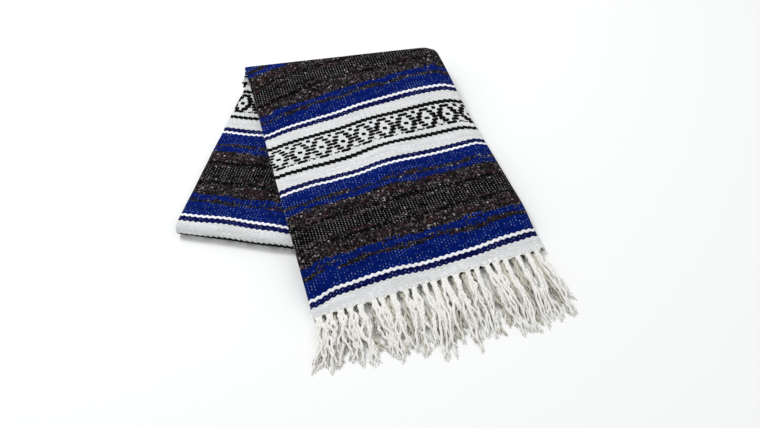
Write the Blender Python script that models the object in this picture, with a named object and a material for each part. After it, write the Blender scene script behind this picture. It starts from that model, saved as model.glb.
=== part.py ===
# Folded striped blanket with a fringed hem, lying on a surface, in metres, +Z up.
# The blanket is folded lengthwise to a quarter of its width, which gives a strip of four layers.
# That strip is folded once at the top, askew, so that a front leg lies over a back leg.
# The back leg turns under at its lower end, and the rest of the strip lies under both legs.

from math import cos, pi, radians, sin

import bmesh
import bpy
from mathutils import Vector

for old in list(bpy.data.objects):
    bpy.data.objects.remove(old, do_unlink=True)

# Driving dimensions of the cloth and of the strip
STRIP_WIDTH = 0.320
CLOTH = 0.0026
SEAM_GAP = 0.0003
LAYER_GAP = 0.0008
INNER_PAIR = 0.0046
STACK = 2 * (CLOTH + LAYER_GAP) + INNER_PAIR
BEND = STACK / 2
HEM = -0.024
EDGE_ROUND = 0.0006
GROOVE = 0.0018

# The front leg: its hem corner on the surface, its lie, and how its sides and stripes bow
HEM_CORNER = Vector((-0.0773, -0.1761))
FRONT_TURN = radians(11.54)
FRONT_TAPER = -0.0089
FRONT_BOW = 0.0021
FRONT_BOW_RISE = 0.0039
EDGE_DROOP = 0.005
EDGE_DROOP_WIDTH = 0.022

# The top fold: where it crosses the left edge, its direction, and its loop
FOLD_LENGTH_UP = 0.4527
FOLD_TURN = radians(-1.462)
FOLD_INNER_RADIUS = 0.0075
FOLD_RADIUS = STACK + FOLD_INNER_RADIUS
FOLD_LIFT_RUN = 0.171
FOLD_SKEW = -0.230

# The back leg: its lie, its heights at the turned end and at the top fold, and its length
BACK_TURN = radians(-19.05)
BACK_SHIFT = 0.0016
BACK_BOW = -0.0036
BACK_LENGTH = 0.2968
BACK_RECESS = 0.012
BACK_CLEAR = 0.0012
PRESS_RUN = 0.030
BACK_LOW = 0.022
BACK_HIGH = 0.027
BACK_SIDE_FADE = 0.12
BACK_END_FADE = 0.11

# The hidden tail of the strip, under the front leg beside the back leg
TAIL_HEIGHT = 0.0185
TAIL_START = 0.020
TAIL_SLOPE = 0.090
TAIL_HEM_END = -0.004
TAIL_RECESS = 0.026
TAIL_CLEAR = 0.0012
TAIL_BACK_GAP = 0.003
TAIL_FOLD_GAP = 0.004

# The fringe: its tassels across the hem, its length at the left and how it grows and splays
TASSELS = 22
BACKING = 0.0035
FRINGE_LENGTH = 0.078
FRINGE_GROWTH = 0.032
FRINGE_SHORT_END = 0.012
SPLAY_LEFT = 0.022
SPLAY_RIGHT = 0.010
STRAND_STEPS = 4
TIP_HEIGHT = 0.0009
TIP_HALF = 0.0006

# Its rows, one for each pair of edges in the hem: depth of the row's middle under the top,
# half its thickness, strands to a tassel, width of a strand, and share of the full length
FRINGE_ROWS = {
    "fringe_top": (CLOTH / 2, 0.0011, 3, 0.0030, 1.0),
    "fringe_middle": (STACK / 2, 0.0013, 1, 0.0056, 0.8),
    "fringe_bottom": (STACK - CLOTH / 2, 0.0010, 1, 0.0056, 0.6),
}

across_front = Vector((cos(FRONT_TURN), sin(FRONT_TURN)))
along_front = Vector((-sin(FRONT_TURN), cos(FRONT_TURN)))
fold_out = Vector((-sin(FOLD_TURN), cos(FOLD_TURN)))
fold_corner = HEM_CORNER + FOLD_LENGTH_UP * along_front
across_back = Vector((cos(BACK_TURN), sin(BACK_TURN)))
along_back = Vector((sin(BACK_TURN), -cos(BACK_TURN)))
back_corner = fold_corner + BACK_SHIFT * across_back


def ease(x):
    """Smooth step from 0 to 1, flat at both ends."""
    x = min(max(x, 0.0), 1.0)
    return x * x * x * (x * (6 * x - 15) + 10)


def spread(start, end, count):
    """Evenly spaced stations from start to end."""
    return [start + (end - start) * k / (count - 1) for k in range(count)]


def front_plan(u, v):
    """Plan point of the front leg, u across from its left edge and v up from its hem stripe."""
    side = u / STRIP_WIDTH
    rise = v / STRIP_WIDTH
    hump = 4 * side * (1 - side)
    u_taper = FRONT_TAPER * (side - 0.5) * (rise - 0.5)
    v_bow = hump * (FRONT_BOW + FRONT_BOW_RISE * rise)
    return HEM_CORNER + (u + u_taper) * across_front + (v + v_bow) * along_front


def back_height(reach):
    """Height of the back leg's top, by its distance from the top fold."""
    return BACK_LOW + (BACK_HIGH - BACK_LOW) * (1 - min(max(reach / BACK_LENGTH, 0), 1))


def under_front(plan):
    """Height of what the front leg lies on: the back leg, the hidden tail or the surface."""
    from_back = plan - back_corner
    reach = from_back.dot(along_back)
    beside = ease((STRIP_WIDTH + 0.005 - from_back.dot(across_back)) / BACK_SIDE_FADE + 0.5)
    over_back = beside * ease((BACK_LENGTH + 0.005 - reach) / BACK_END_FADE + 0.5)
    up = (plan - HEM_CORNER).dot(along_front)
    tail = TAIL_HEIGHT * ease((up - TAIL_START) / TAIL_SLOPE + 0.5)
    past_fold = (plan - fold_corner).dot(fold_out)
    lift = 2 * FOLD_INNER_RADIUS * (1 - ease(-past_fold / FOLD_LIFT_RUN))
    return tail * (1 - over_back) + back_height(reach) * over_back + lift


def front_point(u, v, depth):
    """Point of the front leg at a depth under its top, rolled round the top fold past the fold line."""
    plan = front_plan(u, v)
    past = (plan - fold_corner).dot(fold_out)
    foot = plan - max(past, 0) * fold_out
    rests = under_front(foot)
    droop = EDGE_DROOP * ease((u - STRIP_WIDTH) / EDGE_DROOP_WIDTH + 1) * min(1, rests / 0.01)
    top = rests + STACK - droop
    if past <= 0:
        return Vector((foot.x, foot.y, top - depth))
    angle = min(past / FOLD_RADIUS, pi)
    radius = FOLD_RADIUS - depth
    plan = foot + radius * sin(angle) * fold_out
    return Vector((plan.x, plan.y, top - FOLD_RADIUS + radius * cos(angle)))


def fold_at(u):
    """How far up the front leg the top fold crosses it."""
    side = u / STRIP_WIDTH
    bow = FRONT_BOW + FRONT_BOW_RISE * FOLD_LENGTH_UP / STRIP_WIDTH
    return FOLD_LENGTH_UP + FOLD_SKEW * u - bow * 4 * side * (1 - side)


def front_strip(u, run, depth):
    """Front leg by run: metres short of the top fold when negative, past it when positive."""
    stretch = 1.0 if run > 0 else (fold_at(u) - HEM) / (FOLD_LENGTH_UP - HEM)
    return front_point(u, fold_at(u) + run * stretch, depth)


def doubled_strip(path, run, depth):
    """Outer cloth of the front leg: top layer, bend at the right edge, then bottom layer."""
    flat = STRIP_WIDTH - BEND
    turn = pi * BEND
    if path <= flat:
        return front_strip(path, run, depth)
    if path >= flat + turn:
        return front_strip(flat - (path - flat - turn), run, STACK - depth)
    angle = (path - flat) / BEND
    radius = BEND - depth
    return front_strip(flat + radius * sin(angle), run, BEND - radius * cos(angle))


def back_strip(u, run, depth):
    """Back leg by run from its top end, round its turned end and back under itself.

    Its top is pressed down under the front leg, and its right side is kept in under that leg.
    """
    side = u / STRIP_WIDTH
    start = BACK_SKEW * u
    end = BACK_LENGTH + BACK_BOW * 4 * side * (1 - side)
    turned = min(max(run - BACK_LENGTH, 0), TURN_RUN)
    unrolled = run if turned == 0 else 2 * BACK_LENGTH + turned - run
    reach = start + unrolled * (end - start) / BACK_LENGTH
    if 0 < turned < TURN_RUN:
        reach = end
    plan = back_corner + u * across_back + reach * along_back
    front_u = (plan - HEM_CORNER).dot(across_front)
    plan -= max(0, front_u - STRIP_WIDTH + BACK_RECESS) * across_front
    pressed = ease(front_u / PRESS_RUN + 1)
    lowered = max(0, back_height(reach) - under_front(plan) + BACK_CLEAR)
    middle = (back_height(reach) - pressed * lowered) / 2
    level = middle - depth * middle / (BACK_LOW / 2)
    angle = pi * turned / TURN_RUN
    plan += level * sin(angle) * along_back
    return Vector((plan.x, plan.y, middle + level * cos(angle)))


def tail_point(u, share, rise):
    """Hidden tail: share runs from its hem end to the back leg or the top fold, rise from 0 to 1."""
    plan = HEM_CORNER + u * across_front
    from_back = plan - back_corner
    turned_end = BACK_LENGTH + BACK_LOW / 2 + TAIL_BACK_GAP
    below_back = (turned_end - from_back.dot(along_back)) / along_front.dot(along_back)
    beside = (STRIP_WIDTH + TAIL_BACK_GAP - from_back.dot(across_back)) / along_front.dot(across_back)
    stop = min(max(below_back, beside), fold_at(u) - TAIL_FOLD_GAP)
    v = TAIL_HEM_END + (stop - TAIL_HEM_END) * share
    plan = HEM_CORNER + u * across_front + v * along_front
    top = min(under_front(plan), TAIL_HEIGHT + 0.003) - TAIL_CLEAR
    return Vector((plan.x, plan.y, rise * top))


def slab(across, along, levels, place):
    """Closed solid from a grid of stations, raised through its levels and put in place.

    A level is a depth and how far the solid's edges draw in there, which rounds or grooves them.
    """
    mesh = bmesh.new()
    columns = len(across) - 1
    rows = len(along) - 1
    bmesh.ops.create_grid(mesh, x_segments=columns, y_segments=rows, size=0.5)
    top = mesh.faces[:]
    for step in range(1, len(levels)):
        raised = bmesh.ops.extrude_face_region(mesh, geom=top, use_keep_orig=True)
        if step > 1:
            bmesh.ops.delete(mesh, geom=top, context="FACES")
        top = [item for item in raised["geom"] if isinstance(item, bmesh.types.BMFace)]
        moved = [item for item in raised["geom"] if isinstance(item, bmesh.types.BMVert)]
        bmesh.ops.translate(mesh, verts=moved, vec=(0, 0, 1))
    for vert in mesh.verts:
        column = round((vert.co.x + 0.5) * columns)
        row = round((vert.co.y + 0.5) * rows)
        depth, inset = levels[round(vert.co.z)]
        shift_across = inset * ((column == 0) - (column == columns))
        shift_along = inset * ((row == 0) - (row == rows))
        vert.co = place(across[column] + shift_across, along[row] + shift_along, depth)
    return mesh


def layer_levels(start, thickness, layers):
    """Levels through a pile of layers, with rounded edges and a groove between two layers."""
    levels = []
    for k in range(layers):
        levels.append((start + thickness * k / layers, GROOVE if k else GROOVE / 2))
        levels.append((start + thickness * (k + 0.5) / layers, 0.0))
    levels.append((start + thickness, GROOVE / 2))
    return levels


def finish(name, mesh, colour, roughness):
    """Give a solid outward faces, smooth shading and its material, and name its node."""
    bmesh.ops.recalc_face_normals(mesh, faces=mesh.faces)
    if mesh.calc_volume(signed=True) < 0:
        bmesh.ops.reverse_faces(mesh, faces=mesh.faces)
    data = bpy.data.meshes.new(name)
    mesh.to_mesh(data)
    mesh.free()
    data.shade_smooth()
    data.set_sharp_from_angle(angle=radians(40))
    material = bpy.data.materials.new(name + "_cloth")
    material.use_nodes = True
    shader = material.node_tree.nodes["Principled BSDF"]
    shader.inputs["Base Color"].default_value = (*colour, 1.0)
    shader.inputs["Roughness"].default_value = roughness
    shader.inputs["Metallic"].default_value = 0.0
    data.materials.append(material)
    node = bpy.data.objects.new(name, data)
    bpy.context.scene.collection.objects.link(node)
    return node


# Stations shared by the front leg's pieces: along the leg, then round the top fold
FOLD_RUN = pi * FOLD_RADIUS / cos(FRONT_TURN - FOLD_TURN) + 0.001
hem_run = HEM - FOLD_LENGTH_UP
slope_runs = spread(hem_run, hem_run + TAIL_SLOPE + 0.015, 9)
leg_runs = spread(slope_runs[-1], -0.004, 12)[1:]
fold_runs = spread(0.004, FOLD_RUN, 9)
front_runs = slope_runs + leg_runs + fold_runs
flat_side = spread(0, STRIP_WIDTH - BEND - EDGE_DROOP_WIDTH, 8)
droop_side = [STRIP_WIDTH - BEND - EDGE_DROOP_WIDTH * share for share in (0.5, 0.25)]

# The back leg starts along the top fold, so its right side begins higher on its own length
BACK_SKEW = -across_back.dot(fold_out) / along_back.dot(fold_out)
TURN_RUN = pi * BACK_LOW / 2
over_runs = spread(SEAM_GAP, BACK_LENGTH, 11)
turn_runs = spread(BACK_LENGTH, BACK_LENGTH + TURN_RUN, 8)[1:]
under_runs = spread(BACK_LENGTH + TURN_RUN, 2 * BACK_LENGTH + TURN_RUN - SEAM_GAP, 6)[1:]
back_runs = over_runs + turn_runs + under_runs


def make_front_cloth():
    """Outermost cloth of the front leg, doubled at its right edge and rolled round the top fold."""
    flat = STRIP_WIDTH - BEND
    turn = pi * BEND
    bend_side = spread(flat, flat + turn, 6)
    top_side = flat_side + droop_side
    under_side = [2 * flat + turn - u for u in reversed(top_side)]
    across = top_side + bend_side + under_side
    levels = [(0.0, EDGE_ROUND), (CLOTH / 2, 0.0), (CLOTH, EDGE_ROUND)]
    mesh = slab(across, front_runs, levels, doubled_strip)
    return finish("front_cloth", mesh, (0.06, 0.07, 0.16), 0.9)


def make_front_inner_layers():
    """The two layers folded inside the front leg's outer cloth, grooved at their open edges."""
    across = [0.0015] + flat_side[1:] + droop_side + [STRIP_WIDTH - BEND + SEAM_GAP]
    levels = layer_levels(CLOTH + LAYER_GAP, INNER_PAIR, 2)
    runs = [front_runs[0] + 0.0015] + front_runs[1:]
    mesh = slab(across, runs, levels, front_strip)
    return finish("front_inner_layers", mesh, (0.30, 0.30, 0.33), 0.9)


def make_back_cloth():
    """Outermost cloth of the back leg: over its top, round its turned end and under it."""
    across = spread(0, STRIP_WIDTH, 9)
    levels = [(0.0, EDGE_ROUND), (CLOTH / 2, 0.0), (CLOTH, EDGE_ROUND)]
    mesh = slab(across, back_runs, levels, back_strip)
    return finish("back_cloth", mesh, (0.06, 0.07, 0.16), 0.9)


def make_back_inner_layers():
    """The hidden layers of the back leg, one rounded solid that turns back inside its cloth."""
    across = [0.0015] + spread(0, STRIP_WIDTH, 9)[1:-1] + [STRIP_WIDTH - 0.0015]
    levels = layer_levels(CLOTH + LAYER_GAP, BACK_LOW / 2 - CLOTH - 2 * LAYER_GAP, 3)
    mesh = slab(across, back_runs, levels, back_strip)
    return finish("back_inner_layers", mesh, (0.30, 0.30, 0.33), 0.9)


def make_tail_layers():
    """The rest of the strip, one rounded solid under the front leg beside the back leg."""
    across = spread(0.010, STRIP_WIDTH - TAIL_RECESS, 14)
    along = [share * share for share in spread(0, 1, 12)]
    mesh = slab(across, along, layer_levels(0.0, 1.0, 4), tail_point)
    return finish("tail_layers", mesh, (0.30, 0.30, 0.33), 0.9)


def strand_point(u, step, sign, side, row):
    """Corner of a strand: step along it, sign across it and side up or down, hanging from the hem."""
    depth, half, _, width, share = row
    part = u / STRIP_WIDTH
    length = FRINGE_LENGTH + FRINGE_GROWTH * ease(1.5 * part)
    length -= FRINGE_SHORT_END * ease((part - 0.85) / 0.15)
    length *= share * (1 + 0.05 * sin(9.7 * u / FRINGE_LENGTH))
    t = step / STRAND_STEPS
    splay = SPLAY_RIGHT * ease((part - 0.8) / 0.2) - SPLAY_LEFT * ease((0.25 - part) / 0.25)
    wave = 0.0025 * sin(2.2 * pi * t + 3 * part) * t
    plan = front_plan(u, HEM - BACKING - SEAM_GAP - length * t)
    plan += (splay * share * t * t + wave) * across_front
    start = STACK - depth
    centre = TIP_HEIGHT + (start - TIP_HEIGHT) * (1 - t) ** (0.55 + 0.3 * share)
    taper = 1 - 0.5 * t
    plan += sign * width / 2 * taper * across_front
    return Vector((plan.x, plan.y, centre + side * (half + (TIP_HALF - half) * t)))


def make_fringe(name):
    """One row of fringe: a narrow backing parted from the hem's edge, strands drawn out of its front."""
    row = FRINGE_ROWS[name]
    depth, half, strands, width, _ = row
    pitch = (STRIP_WIDTH - BEND) / TASSELS
    roots = []
    for tassel in range(TASSELS):
        for strand in range(strands):
            beside = (strand - (strands - 1) / 2) * (width + 0.0005)
            roots.append(pitch * (tassel + 0.5) + beside)
    edges = [0.0015]
    for root in roots:
        edges += [root - width / 2, root + width / 2]
    edges.append(STRIP_WIDTH - BEND)
    columns = len(edges) - 1
    mesh = bmesh.new()
    bmesh.ops.create_grid(mesh, x_segments=columns, y_segments=1, size=0.5)
    drawn = mesh.faces[:]
    for step in range(STRAND_STEPS + 1):
        raised = bmesh.ops.extrude_face_region(mesh, geom=drawn, use_keep_orig=True)
        if step > 0:
            bmesh.ops.delete(mesh, geom=drawn, context="FACES")
        drawn = [item for item in raised["geom"] if isinstance(item, bmesh.types.BMFace)]
        moved = [item for item in raised["geom"] if isinstance(item, bmesh.types.BMVert)]
        bmesh.ops.translate(mesh, verts=moved, vec=(0, 0, 1))
        if step == 0:
            drawn = [face for face in drawn if int((face.calc_center_median().x + 0.5) * columns) % 2]
    for vert in mesh.verts:
        column = round((vert.co.x + 0.5) * columns)
        side = 1 if vert.co.y > 0 else -1
        step = round(vert.co.z)
        if step <= 1:
            run = hem_run - SEAM_GAP - BACKING * step
            vert.co = front_strip(edges[column], run, depth - side * half)
        else:
            root = roots[(column - 1) // 2]
            vert.co = strand_point(root, step - 1, 1 if column % 2 == 0 else -1, side, row)
    return finish(name, mesh, (0.80, 0.79, 0.73), 0.95)


make_front_cloth()
make_front_inner_layers()
make_back_cloth()
make_back_inner_layers()
make_tail_layers()
for fringe in FRINGE_ROWS:
    make_fringe(fringe)
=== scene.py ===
# A striped falsa blanket, folded lengthwise into a strip of four layers. The strip is folded over
# once at the top, askew, and its knotted fringe lies towards the camera. Metres, +Z up.

from math import cos, exp, pi, radians, sin, sqrt, tau
from random import Random

import bmesh
import bpy
from mathutils import Matrix, Vector, noise


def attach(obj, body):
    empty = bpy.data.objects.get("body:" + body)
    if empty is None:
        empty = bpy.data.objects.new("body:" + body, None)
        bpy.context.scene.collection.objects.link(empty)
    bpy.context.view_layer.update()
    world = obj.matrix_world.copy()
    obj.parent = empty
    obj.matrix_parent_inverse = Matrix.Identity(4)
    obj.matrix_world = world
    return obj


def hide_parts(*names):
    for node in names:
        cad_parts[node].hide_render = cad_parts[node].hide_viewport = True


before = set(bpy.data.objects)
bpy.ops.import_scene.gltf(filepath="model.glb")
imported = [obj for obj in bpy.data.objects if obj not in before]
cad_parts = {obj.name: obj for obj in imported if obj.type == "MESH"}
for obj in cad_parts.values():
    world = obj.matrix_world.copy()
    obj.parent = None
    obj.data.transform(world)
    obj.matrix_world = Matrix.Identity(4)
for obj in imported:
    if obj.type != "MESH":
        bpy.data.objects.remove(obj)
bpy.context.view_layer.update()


# Camera
# It stands over the fringe and looks down on the blanket, 39 degrees from straight down and turned
# a little on its own axis.
camera_place = Vector((0.0276, -0.6779, 0.7927))
camera_tilt = radians(39.15)
camera_roll = radians(-7.22)
camera_data = bpy.data.cameras.new("camera")
camera_data.lens = 33.36
camera_data.sensor_width = 36.0
camera = bpy.data.objects.new("camera", camera_data)
bpy.context.scene.collection.objects.link(camera)
tilted = Matrix.Rotation(camera_tilt, 4, "X") @ Matrix.Rotation(camera_roll, 4, "Z")
camera.matrix_world = Matrix.Translation(camera_place) @ tilted
bpy.context.scene.camera = camera


# Floor and lights
# A plain pale floor under the blanket, a wide soft light from above and behind on the left,
# a weaker one from the right, and an even pale sky.


def yarn(red, green, blue):
    """Colour as a shader reads it, from screen values of 0 to 255."""
    shares = [value / 255 for value in (red, green, blue)]
    return (*[s / 12.92 if s <= 0.04045 else ((s + 0.055) / 1.055) ** 2.4 for s in shares], 1.0)


floor_size = 6.0
floor_mesh = bmesh.new()
bmesh.ops.create_grid(floor_mesh, x_segments=1, y_segments=1, size=floor_size)
floor_data = bpy.data.meshes.new("floor")
floor_mesh.to_mesh(floor_data)
floor_mesh.free()
floor = bpy.data.objects.new("floor", floor_data)
bpy.context.scene.collection.objects.link(floor)
floor_paint = bpy.data.materials.new("pale_floor")
floor_paint.use_nodes = True
floor_shader = floor_paint.node_tree.nodes["Principled BSDF"]
floor_shader.inputs["Base Color"].default_value = yarn(247, 248, 248)
floor_shader.inputs["Roughness"].default_value = 0.9
floor_shader.inputs["Specular IOR Level"].default_value = 0.1
floor_data.materials.append(floor_paint)

sky = bpy.data.worlds.new("studio")
sky.use_nodes = True
background = sky.node_tree.nodes["Background"]
background.inputs["Color"].default_value = (1.0, 1.0, 1.0, 1.0)
background.inputs["Strength"].default_value = 0.63
bpy.context.scene.world = sky
bpy.context.scene.view_settings.view_transform = "Standard"


def softbox(name, place, size, power):
    """A square area light that points at the blanket's middle."""
    data = bpy.data.lights.new(name, "AREA")
    data.shape = "SQUARE"
    data.size = size
    data.energy = power
    lamp = bpy.data.objects.new(name, data)
    bpy.context.scene.collection.objects.link(lamp)
    lamp.location = place
    lamp.rotation_euler = (-Vector(place)).to_track_quat("-Z", "Y").to_euler()


softbox("key", place=(-0.9, 1.1, 2.2), size=0.9, power=34.0)
softbox("fill", place=(1.6, -0.6, 2.4), size=1.8, power=7.0)


# Front cloth
# The outermost layer of the leg that lies on top: handwoven cloth of soft acrylic and cotton,
# 2.6 mm thick, doubled back under the leg at its right edge and rolled round the top fold.
# It is a thin shell on its solid, with rounded rims and soft creases pressed in.

# The strip, its layers, and the plan of the front leg
STRIP_WIDTH = 0.320
CLOTH = 0.0026
LAYER_GAP = 0.0008
INNER_PAIR = 0.0046
STACK = 2 * (CLOTH + LAYER_GAP) + INNER_PAIR
BEND = STACK / 2
HEM = -0.024
HEM_STRIPE = HEM + 0.005
HEM_CORNER = Vector((-0.0773, -0.1761))
FRONT_TURN = radians(11.54)
FRONT_TAPER = -0.0089
FRONT_BOW = 0.0021
FRONT_BOW_RISE = 0.0039
EDGE_DROOP = 0.005
EDGE_DROOP_WIDTH = 0.022

# The top fold
FOLD_LENGTH_UP = 0.4527
FOLD_TURN = radians(-1.462)
FOLD_INNER_RADIUS = 0.0075
FOLD_RADIUS = STACK + FOLD_INNER_RADIUS
FOLD_LIFT_RUN = 0.171
FOLD_SKEW = -0.230
FOLD_OVERRUN = 0.001
FOLD_RUN = pi * FOLD_RADIUS / cos(FRONT_TURN - FOLD_TURN) + FOLD_OVERRUN

# What carries the front leg: the back leg and the hidden tail
BACK_TURN = radians(-19.05)
BACK_SHIFT = 0.0016
BACK_LENGTH = 0.3003
BACK_LOW = 0.022
BACK_HIGH = 0.027
BACK_SIDE_FADE = 0.12
BACK_END_FADE = 0.11
BACK_MARGIN = 0.005
TAIL_HEIGHT = 0.0185
TAIL_START = 0.020
TAIL_SLOPE = 0.090

# Creases and rims, and how the roll takes up the cloth
LOW_FADE = 0.01
CREASE_REACH = 2.5
RIM_DEPTH = 0.0011
ROLL_TAKES_UP = 0.22
ROLL_TAKES_MORE = 0.5
ROLL_LEFT_END = 0.16
ROLL_TOP = 0.017

# The hem, drawn into a point at each tassel
TASSELS = 22
TASSEL_PITCH = (STRIP_WIDTH - BEND) / TASSELS
HEM_PULL = 0.0028
HEM_EVEN = 0.7
HEM_UNEVEN = 0.9
HEM_EDGE = 0.012

across_front = Vector((cos(FRONT_TURN), sin(FRONT_TURN)))
along_front = Vector((-sin(FRONT_TURN), cos(FRONT_TURN)))
fold_out = Vector((-sin(FOLD_TURN), cos(FOLD_TURN)))
fold_corner = HEM_CORNER + FOLD_LENGTH_UP * along_front
across_back = Vector((cos(BACK_TURN), sin(BACK_TURN)))
along_back = Vector((sin(BACK_TURN), -cos(BACK_TURN)))
back_corner = fold_corner + BACK_SHIFT * across_back

# Ridges and troughs: middle across and up, turn in degrees, half length, half width, height
front_creases = [
    (0.070, 0.060, 6, 0.090, 0.014, 0.0016),
    (0.230, 0.095, -8, 0.080, 0.012, -0.0015),
    (0.130, 0.128, 4, 0.110, 0.010, 0.0012),
    (0.110, 0.196, -5, 0.050, 0.013, -0.0022),
    (0.185, 0.205, 8, 0.045, 0.012, 0.0018),
    (0.270, 0.240, -12, 0.050, 0.016, 0.0016),
    (0.040, 0.245, 10, 0.050, 0.014, 0.0014),
    (0.200, 0.290, 3, 0.100, 0.011, -0.0013),
    (0.080, 0.330, -6, 0.090, 0.013, 0.0017),
    (0.230, 0.345, 10, 0.070, 0.012, 0.0014),
    (0.050, 0.390, 14, 0.060, 0.010, -0.0018),
    (0.150, 0.400, -4, 0.090, 0.012, 0.0012),
    (0.290, 0.020, 30, 0.050, 0.014, 0.0015),
    (0.020, 0.010, -25, 0.040, 0.016, 0.0014),
    (0.300, 0.150, 80, 0.060, 0.010, 0.0012),
    (0.018, 0.180, 84, 0.070, 0.008, 0.0012),
    (0.012, 0.330, 88, 0.060, 0.009, -0.0010),
]

# How far each stripe wanders up the leg, in millimetres, at stations across it
wander_stations = [0.000, 0.045, 0.085, 0.110, 0.165, 0.220, 0.285, 0.315]
wander_rows = [
    (0.000, (-5.0, 1.5, 2.0, 1.5, -2.0, -2.0, 1.0, 2.0)),
    (0.090, (-2.0, 1.0, 0.0, -1.0, 0.5, 1.0, 0.0, -1.0)),
    (0.181, (0.0, 1.3, -1.7, -3.2, 0.3, -1.2, 0.2, -1.0)),
    (0.211, (1.0, 0.5, -1.5, -2.0, 1.5, -0.5, 2.0, -2.0)),
    (0.270, (0.0, 1.0, 0.0, -1.0, 1.5, -1.0, 1.0, -2.0)),
    (0.303, (-1.0, 1.0, 0.0, -1.0, 1.0, 0.5, 0.0, -2.0)),
    (0.375, (-8.0, -3.0, 0.5, 1.0, 0.0, -1.0, 0.5, 0.0)),
    (0.440, (-6.0, -1.0, 0.0, 0.5, 0.0, 0.0, 0.0, 0.0)),
]


def ease(x):
    """Smooth step from 0 to 1, flat at both ends."""
    x = min(max(x, 0.0), 1.0)
    return x * x * x * (x * (6 * x - 15) + 10)


def spread(start, end, count):
    """Evenly spaced stations from start to end."""
    return [start + (end - start) * k / (count - 1) for k in range(count)]


def relief(u, v, creases):
    """Height of the soft ridges and troughs at a point of the cloth."""
    total = 0.0
    for middle_u, middle_v, turn, length, width, height in creases:
        across = u - middle_u
        up = v - middle_v
        swing = radians(turn)
        forward = (across * cos(swing) + up * sin(swing)) / length
        aside = (up * cos(swing) - across * sin(swing)) / width
        if abs(aside) < CREASE_REACH and abs(forward) < CREASE_REACH:
            total += height * exp(-forward * forward - aside * aside)
    return total


def between(stations, values, x):
    """Value between listed stations, eased from one to the next."""
    for k in range(len(stations) - 1):
        if x < stations[k + 1] or k == len(stations) - 2:
            share = ease((x - stations[k]) / (stations[k + 1] - stations[k]))
            return values[k] + (values[k + 1] - values[k]) * share


def wander(u, v):
    """How far the stripe at a point of the front leg has strayed up the leg, in metres."""
    heights = [row[0] for row in wander_rows]
    strays = [between(wander_stations, row[1], u) for row in wander_rows]
    return between(heights, strays, v) / 1000


def front_plan(u, v):
    """Plan point of the front leg, u across from its left edge and v up from its hem stripe."""
    side = u / STRIP_WIDTH
    rise = v / STRIP_WIDTH
    hump = 4 * side * (1 - side)
    u_taper = FRONT_TAPER * (side - 0.5) * (rise - 0.5)
    v_bow = hump * (FRONT_BOW + FRONT_BOW_RISE * rise)
    return HEM_CORNER + (u + u_taper) * across_front + (v + v_bow) * along_front


def back_height(reach):
    """Height of the back leg's top, by its distance from the top fold."""
    return BACK_LOW + (BACK_HIGH - BACK_LOW) * (1 - min(max(reach / BACK_LENGTH, 0), 1))


def under_front(plan):
    """Height of what the front leg lies on: the back leg, the hidden tail or the surface."""
    from_back = plan - back_corner
    reach = from_back.dot(along_back)
    past_side = STRIP_WIDTH + BACK_MARGIN - from_back.dot(across_back)
    past_end = BACK_LENGTH + BACK_MARGIN - reach
    over_back = ease(past_side / BACK_SIDE_FADE + 0.5) * ease(past_end / BACK_END_FADE + 0.5)
    up = (plan - HEM_CORNER).dot(along_front)
    tail = TAIL_HEIGHT * ease((up - TAIL_START) / TAIL_SLOPE + 0.5)
    past_fold = (plan - fold_corner).dot(fold_out)
    lift = 2 * FOLD_INNER_RADIUS * (1 - ease(-past_fold / FOLD_LIFT_RUN))
    return tail * (1 - over_back) + back_height(reach) * over_back + lift


def front_point(u, v, depth):
    """Point of the front leg at a depth under its top, rolled round the top fold past the fold."""
    plan = front_plan(u, v)
    past = (plan - fold_corner).dot(fold_out)
    foot = plan - max(past, 0) * fold_out
    rests = under_front(foot)
    raised = min(1, rests / LOW_FADE)
    droop = EDGE_DROOP * ease((u - STRIP_WIDTH) / EDGE_DROOP_WIDTH + 1) * raised
    pressed = relief(u, v, front_creases) * (1 - depth / STACK) * raised
    top = rests + STACK - droop + pressed
    if past <= 0:
        return Vector((foot.x, foot.y, top - depth))
    angle = min(past / FOLD_RADIUS, pi)
    radius = FOLD_RADIUS - depth
    plan = foot + radius * sin(angle) * fold_out
    return Vector((plan.x, plan.y, top - FOLD_RADIUS + radius * cos(angle)))


def fold_at(u):
    """How far up the front leg the top fold crosses it."""
    side = u / STRIP_WIDTH
    bow = FRONT_BOW + FRONT_BOW_RISE * FOLD_LENGTH_UP / STRIP_WIDTH
    return FOLD_LENGTH_UP + FOLD_SKEW * u - bow * 4 * side * (1 - side)


def up_the_leg(u, run):
    """Distance up the front leg of a run, short of the top fold when negative and past it if not."""
    stretch = 1.0 if run > 0 else (fold_at(u) - HEM) / (FOLD_LENGTH_UP - HEM)
    return fold_at(u) + run * stretch


def front_strip(u, run, depth):
    """Point of the front leg by its run, with the hem drawn into a point at each tassel."""
    v = up_the_leg(u, run)
    near_hem = ease(1 - (v - HEM) / HEM_EDGE)
    ragged = HEM_EVEN + HEM_UNEVEN * noise.noise(Vector((u * 55, 3.0, depth * 200)))
    drawn = HEM_PULL * ragged * near_hem * cos(tau * (u / TASSEL_PITCH - 0.5))
    return front_point(u, v - drawn, depth)


def doubled_strip(path, run, depth):
    """Outer cloth of the front leg: top layer, bend at the right edge, then bottom layer."""
    flat = STRIP_WIDTH - BEND
    turn = pi * BEND
    if path <= flat:
        return front_strip(path, run, depth)
    if path >= flat + turn:
        return front_strip(flat - (path - flat - turn), run, STACK - depth)
    angle = (path - flat) / BEND
    radius = BEND - depth
    return front_strip(flat + radius * sin(angle), run, BEND - radius * cos(angle))


def new_weave_mesh():
    """An empty mesh with the UV map that the weave is drawn on."""
    mesh = bmesh.new()
    mesh.loops.layers.uv.new("weave")
    return mesh


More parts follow.
